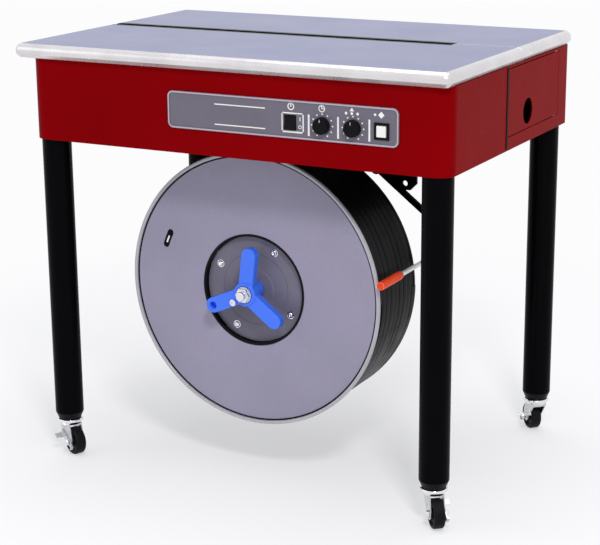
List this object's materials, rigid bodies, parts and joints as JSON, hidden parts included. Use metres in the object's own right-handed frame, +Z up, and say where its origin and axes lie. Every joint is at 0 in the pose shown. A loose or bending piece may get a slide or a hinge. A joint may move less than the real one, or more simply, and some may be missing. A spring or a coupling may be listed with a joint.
{
  "type": "banknote strapping machine",
  "caption": "Table-top strapping machine on castors: steel cabinet, slotted stainless table with hinged rear plate, control panel and a strap reel with brake arm hung below.",
  "frame": {"origin": "on the floor under the centre of the table top", "axes": "+Z up, +X to the operator's right along the strap slot, -Y towards the operator"},
  "size_m": [0.81, 0.56, 0.75],
  "materials": {
    "red_paint": "semi-gloss powder coat",
    "black_paint": "gloss powder coat",
    "stainless": "brushed",
    "zinc_plate": "zinc plated",
    "bright_steel": "polished",
    "tool_steel": "ground",
    "core_steel": "varnished",
    "cast_grey": "machined casting",
    "cast_alloy": "cast",
    "motor_paint": "matt paint",
    "grey_panel": "matt film",
    "reel_grey": "semi-gloss paint",
    "hub_grey": "semi-gloss paint",
    "strap_plastic": "embossed strap",
    "blue_plastic": "moulded",
    "orange_plastic": "moulded",
    "black_plastic": "moulded",
    "knob_plastic": "moulded",
    "button_plastic": "moulded",
    "board_green": "solder mask",
    "castor_rubber": "matt",
    "roller_rubber": "matt"
  },
  "bodies": {
    "frame": {"cabinet_shell": "red_paint", "base_plate": "black_paint", "front_table_plate": "stainless", "slot_rails": "zinc_plate", "legs": "black_paint", "castor_sockets": "black_plastic", "reel_hanger": "black_paint", "reel_shaft": "bright_steel", "arm_bracket": "black_paint", "control_panel": "grey_panel", "button_bezel": "black_plastic", "power_inlet": "black_plastic", "door_pivots": "zinc_plate", "hinge_leaves": "zinc_plate", "head_casting": "cast_grey", "gearbox": "cast_alloy", "main_motor": "motor_paint", "feed_motor": "motor_paint", "transformer": "core_steel", "control_board": "board_green"},
    "castor_front_left": {"castor_fork_front_left": "zinc_plate"},
    "wheel_front_left": {"castor_wheel_front_left": "castor_rubber"},
    "lever_front_left": {"castor_brake_front_left": "zinc_plate"},
    "castor_front_right": {"castor_fork_front_right": "zinc_plate"},
    "wheel_front_right": {"castor_wheel_front_right": "castor_rubber"},
    "lever_front_right": {"castor_brake_front_right": "zinc_plate"},
    "castor_rear_right": {"castor_fork_rear_right": "zinc_plate"},
    "wheel_rear_right": {"castor_wheel_rear_right": "castor_rubber"},
    "lever_rear_right": {"castor_brake_rear_right": "zinc_plate"},
    "castor_rear_left": {"castor_fork_rear_left": "zinc_plate"},
    "wheel_rear_left": {"castor_wheel_rear_left": "castor_rubber"},
    "lever_rear_left": {"castor_brake_rear_left": "zinc_plate"},
    "rear_plate": {"rear_table_plate": "stainless", "plate_stiffeners": "stainless", "lid_leaves": "zinc_plate"},
    "door": {"side_door": "red_paint"},
    "reel": {"reel_spacers": "zinc_plate", "reel_front_flange": "reel_grey", "reel_rear_flange": "black_paint", "hub_plate": "hub_grey", "strap_core": "strap_plastic", "strap_winding": "strap_plastic"},
    "handle": {"three_arm_handle": "blue_plastic"},
    "arm": {"brake_arm": "black_paint", "cross_rod": "bright_steel"},
    "sleeve": {"arm_sleeve": "orange_plastic"},
    "switch": {"rocker_switch": "black_plastic"},
    "knob_left": {"left_knob": "knob_plastic"},
    "knob_right": {"right_knob": "knob_plastic"},
    "button": {"push_button": "button_plastic"},
    "cam": {"camshaft": "bright_steel"},
    "feed": {"feed_roller": "bright_steel"},
    "pinch": {"pinch_roller": "roller_rubber"},
    "grip_left": {"left_gripper": "tool_steel"},
    "press": {"press_block": "tool_steel"},
    "grip_right": {"right_gripper": "tool_steel"},
    "anvil": {"anvil_slide": "tool_steel"}
  },
  "joints": [
    {"name": "castor_swivel_front_left", "type": "hinge", "parent": "frame", "child": "castor_front_left", "pos_m": [-0.352, -0.237, 0.064], "axis": [0, 0, 1], "continuous": true},
    {"name": "castor_roll_front_left", "type": "hinge", "parent": "castor_front_left", "child": "wheel_front_left", "pos_m": [-0.3375, -0.24376, 0.025], "axis": [0.4226, 0.9063, 0], "continuous": true},
    {"name": "castor_lever_front_left", "type": "hinge", "parent": "castor_front_left", "child": "lever_front_left", "pos_m": [-0.3375, -0.24376, 0.025], "axis": [0.4226, 0.9063, 0], "range_deg": [-40, 0]},
    {"name": "castor_swivel_front_right", "type": "hinge", "parent": "frame", "child": "castor_front_right", "pos_m": [0.37, -0.237, 0.064], "axis": [0, 0, 1], "continuous": true},
    {"name": "castor_roll_front_right", "type": "hinge", "parent": "castor_front_right", "child": "wheel_front_right", "pos_m": [0.38028, -0.24926, 0.025], "axis": [0.766, 0.6428, 0], "continuous": true},
    {"name": "castor_lever_front_right", "type": "hinge", "parent": "castor_front_right", "child": "lever_front_right", "pos_m": [0.38028, -0.24926, 0.025], "axis": [0.766, 0.6428, 0], "range_deg": [-40, 0]},
    {"name": "castor_swivel_rear_right", "type": "hinge", "parent": "frame", "child": "castor_rear_right", "pos_m": [0.37, 0.243, 0.064], "axis": [0, 0, 1], "continuous": true},
    {"name": "castor_roll_rear_right", "type": "hinge", "parent": "castor_rear_right", "child": "wheel_rear_right", "pos_m": [0.35889, 0.25451, 0.025], "axis": [-0.7193, -0.6947, 0], "continuous": true},
    {"name": "castor_lever_rear_right", "type": "hinge", "parent": "castor_rear_right", "child": "lever_rear_right", "pos_m": [0.35889, 0.25451, 0.025], "axis": [-0.7193, -0.6947, 0], "range_deg": [-40, 0]},
    {"name": "castor_swivel_rear_left", "type": "hinge", "parent": "frame", "child": "castor_rear_left", "pos_m": [-0.352, 0.243, 0.064], "axis": [0, 0, 1], "continuous": true},
    {"name": "castor_roll_rear_left", "type": "hinge", "parent": "castor_rear_left", "child": "wheel_rear_left", "pos_m": [-0.36704, 0.23753, 0.025], "axis": [0.342, -0.9397, 0], "continuous": true},
    {"name": "castor_lever_rear_left", "type": "hinge", "parent": "castor_rear_left", "child": "lever_rear_left", "pos_m": [-0.36704, 0.23753, 0.025], "axis": [0.342, -0.9397, 0], "range_deg": [-40, 0]},
    {"name": "rear_plate_hinge", "type": "hinge", "parent": "frame", "child": "rear_plate", "pos_m": [0.009, 0.2764, 0.7195], "axis": [-1, 0, 0], "range_deg": [0, 95]},
    {"name": "side_door_hinge", "type": "hinge", "parent": "frame", "child": "door", "pos_m": [0.3935, 0.212, 0.654], "axis": [0, 0, 1], "range_deg": [0, 100]},
    {"name": "reel_spin", "type": "hinge", "parent": "frame", "child": "reel", "pos_m": [0.002, -0.1, 0.3355], "axis": [0, 1, 0], "continuous": true},
    {"name": "handle_spin", "type": "hinge", "parent": "reel", "child": "handle", "pos_m": [0.002, -0.19, 0.3355], "axis": [0, 1, 0], "continuous": true},
    {"name": "brake_arm_pivot", "type": "hinge", "parent": "frame", "child": "arm", "pos_m": [0.148, 0.01, 0.5283], "axis": [0, -1, 0], "range_deg": [0, 35]},
    {"name": "sleeve_spin", "type": "hinge", "parent": "arm", "child": "sleeve", "pos_m": [0.251, -0.15, 0.378], "axis": [0, 1, 0], "continuous": true},
    {"name": "power_switch", "type": "hinge", "parent": "frame", "child": "switch", "pos_m": [0.1275, -0.2685, 0.6527], "axis": [1, 0, 0], "range_deg": [0, 14]},
    {"name": "left_timer", "type": "hinge", "parent": "frame", "child": "knob_left", "pos_m": [0.1846, -0.27, 0.652], "axis": [0, 1, 0], "range_deg": [-150, 150]},
    {"name": "right_timer", "type": "hinge", "parent": "frame", "child": "knob_right", "pos_m": [0.2385, -0.27, 0.652], "axis": [0, 1, 0], "range_deg": [-150, 150]},
    {"name": "button_press", "type": "slide", "parent": "frame", "child": "button", "axis": [0, 1, 0], "range_m": [0, 0.003], "stiffness_N_per_m": 400, "springref_m": -0.001},
    {"name": "camshaft_turn", "type": "hinge", "parent": "frame", "child": "cam", "pos_m": [0, 0.0216, 0.63], "axis": [1, 0, 0], "continuous": true},
    {"name": "feed_turn", "type": "hinge", "parent": "frame", "child": "feed", "pos_m": [0.132, 0.0216, 0.655], "axis": [0, 1, 0], "continuous": true},
    {"name": "pinch_turn", "type": "hinge", "parent": "frame", "child": "pinch", "pos_m": [0.132, 0.0216, 0.6202], "axis": [0, 1, 0], "continuous": true},
    {"name": "left_grip", "type": "slide", "parent": "frame", "child": "grip_left", "axis": [0, 0, 1], "range_m": [0, 0.004]},
    {"name": "press_rise", "type": "slide", "parent": "frame", "child": "press", "axis": [0, 0, 1], "range_m": [0, 0.004]},
    {"name": "right_grip", "type": "slide", "parent": "frame", "child": "grip_right", "axis": [0, 0, 1], "range_m": [0, 0.004]},
    {"name": "anvil_withdraw", "type": "slide", "parent": "frame", "child": "anvil", "axis": [0, 1, 0], "range_m": [0, 0.016]}
  ],
  "couplings": [
    {"joint": "pinch_turn", "follows": "feed_turn", "ratio": -1.4286}
  ]
}
